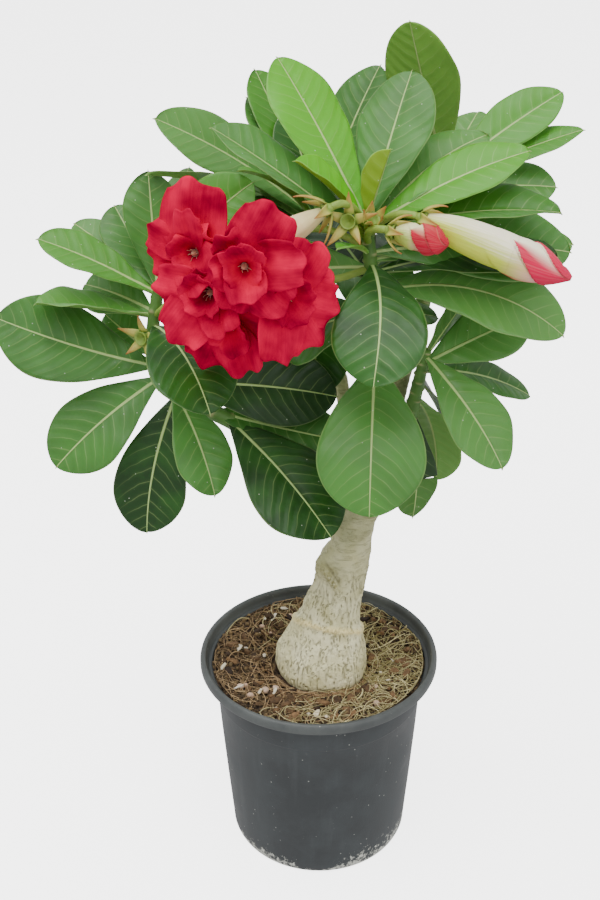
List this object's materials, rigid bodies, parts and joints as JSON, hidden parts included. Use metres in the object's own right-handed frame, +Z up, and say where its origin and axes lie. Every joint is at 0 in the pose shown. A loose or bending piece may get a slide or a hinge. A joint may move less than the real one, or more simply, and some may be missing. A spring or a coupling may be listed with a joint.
{
  "type": "potted desert rose adenium",
  "caption": "Potted desert rose: a swollen grey trunk in a tapered nursery pot, leafy shoots in whorls, a head of double red flowers and two closed buds.",
  "frame": {"origin": "middle of the pot's flat underside", "axes": "+Z up; the flowers face -Y; +X is to the right of someone who looks at the flowers"},
  "size_m": [0.3369, 0.2386, 0.5271],
  "materials": {
    "pot_plastic": "dark slate grey polypropylene, satin, dusty",
    "potting_mix": "damp coir and bark chips with pale fibres and perlite",
    "bark": "smooth pale grey-beige bark, matt",
    "leaf": "leathery green leaf, soft sheen",
    "petal": "velvety crimson petal",
    "flower_tube": "cream flower tube, downy",
    "bud_tube": "pale yellow-green bud, downy"
  },
  "bodies": {
    "root": {"pot": "pot_plastic", "potting_mix": "potting_mix", "trunk": "bark", "leafy_shoot_centre": "leaf", "leafy_shoot_left": "leaf", "leafy_shoot_back_right": "leaf", "leafy_shoot_right": "leaf", "leafy_shoot_back_left": "leaf", "flower_1_petals": "petal", "flower_1_tube": "flower_tube", "flower_2_petals": "petal", "flower_2_tube": "flower_tube", "flower_3_petals": "petal", "flower_3_tube": "flower_tube", "flower_4_petals": "petal", "flower_4_tube": "flower_tube", "flower_5_petals": "petal", "flower_5_tube": "flower_tube", "large_bud_tube": "bud_tube", "large_bud_tip": "petal", "small_bud": "petal"}
  },
  "joints": []
}
